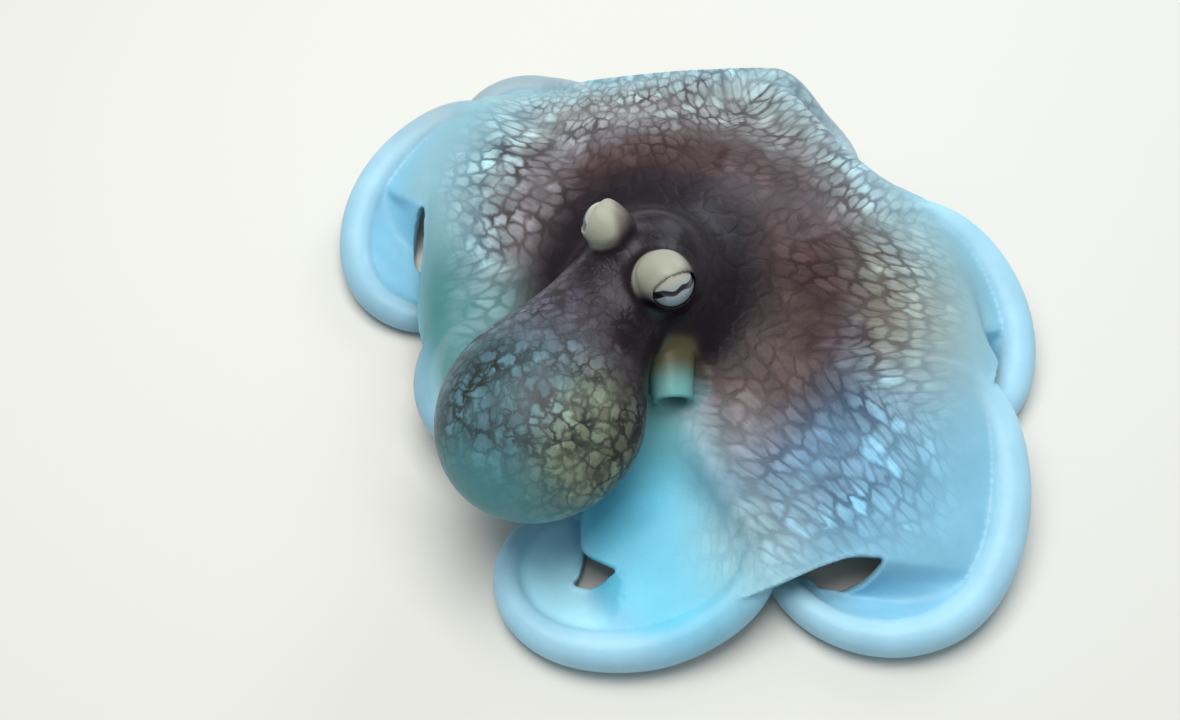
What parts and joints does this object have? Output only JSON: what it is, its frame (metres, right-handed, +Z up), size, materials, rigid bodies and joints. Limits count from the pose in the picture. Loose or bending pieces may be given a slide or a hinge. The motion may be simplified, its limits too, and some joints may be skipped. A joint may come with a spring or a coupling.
{
  "type": "octopus",
  "caption": "Octopus resting with its web spread over the ground and each arm tip curled under the next web, a still life-size museum model.",
  "frame": {"origin": "on the ground, under the middle of the whole animal's bounding box", "axes": "+Z up; +Y away from the mantle, towards the dorsal arms; +X towards the animal's right-hand arms as they lie"},
  "size_m": [0.2684, 0.2726, 0.0859],
  "materials": {
    "arm": "wet skin, pale blue with white sucker rims, semi-gloss",
    "web": "wet skin, pale cells in a dark net, semi-gloss",
    "head": "wet skin, near-black maroon, semi-gloss",
    "mantle": "wet skin, dark net over grey-lilac fading to teal, semi-gloss",
    "funnel": "wet skin, olive brown, semi-gloss",
    "eye": "clear glossy eyeball with a dark slit pupil"
  },
  "bodies": {
    "root": {"arm_L1_base": "arm", "arm_L1_bend": "arm", "arm_L1_curl": "arm", "arm_L1_sweep": "arm", "arm_L1_tip": "arm", "arm_L2_base": "arm", "arm_L2_bend": "arm", "arm_L2_curl": "arm", "arm_L2_sweep": "arm", "arm_L2_tip": "arm", "arm_L3_base": "arm", "arm_L3_bend": "arm", "arm_L3_curl": "arm", "arm_L3_sweep": "arm", "arm_L3_tip": "arm", "arm_L4_base": "arm", "arm_L4_bend": "arm", "arm_L4_curl": "arm", "arm_L4_sweep": "arm", "arm_L4_tip": "arm", "arm_R1_base": "arm", "arm_R1_bend": "arm", "arm_R1_curl": "arm", "arm_R1_sweep": "arm", "arm_R1_tip": "arm", "arm_R2_base": "arm", "arm_R2_bend": "arm", "arm_R2_curl": "arm", "arm_R2_sweep": "arm", "arm_R2_tip": "arm", "arm_R3_base": "arm", "arm_R3_bend": "arm", "arm_R3_curl": "arm", "arm_R3_sweep": "arm", "arm_R3_tip": "arm", "arm_R4_base": "arm", "arm_R4_bend": "arm", "arm_R4_curl": "arm", "arm_R4_sweep": "arm", "arm_R4_tip": "arm", "eye_left": "eye", "eye_right": "eye", "funnel": "funnel", "head": "head", "mantle": "mantle", "web_dorsal": "web", "web_left_12": "web", "web_left_23": "web", "web_left_34": "web", "web_right_12": "web", "web_right_23": "web", "web_right_34": "web", "web_ventral": "web"}
  },
  "joints": []
}
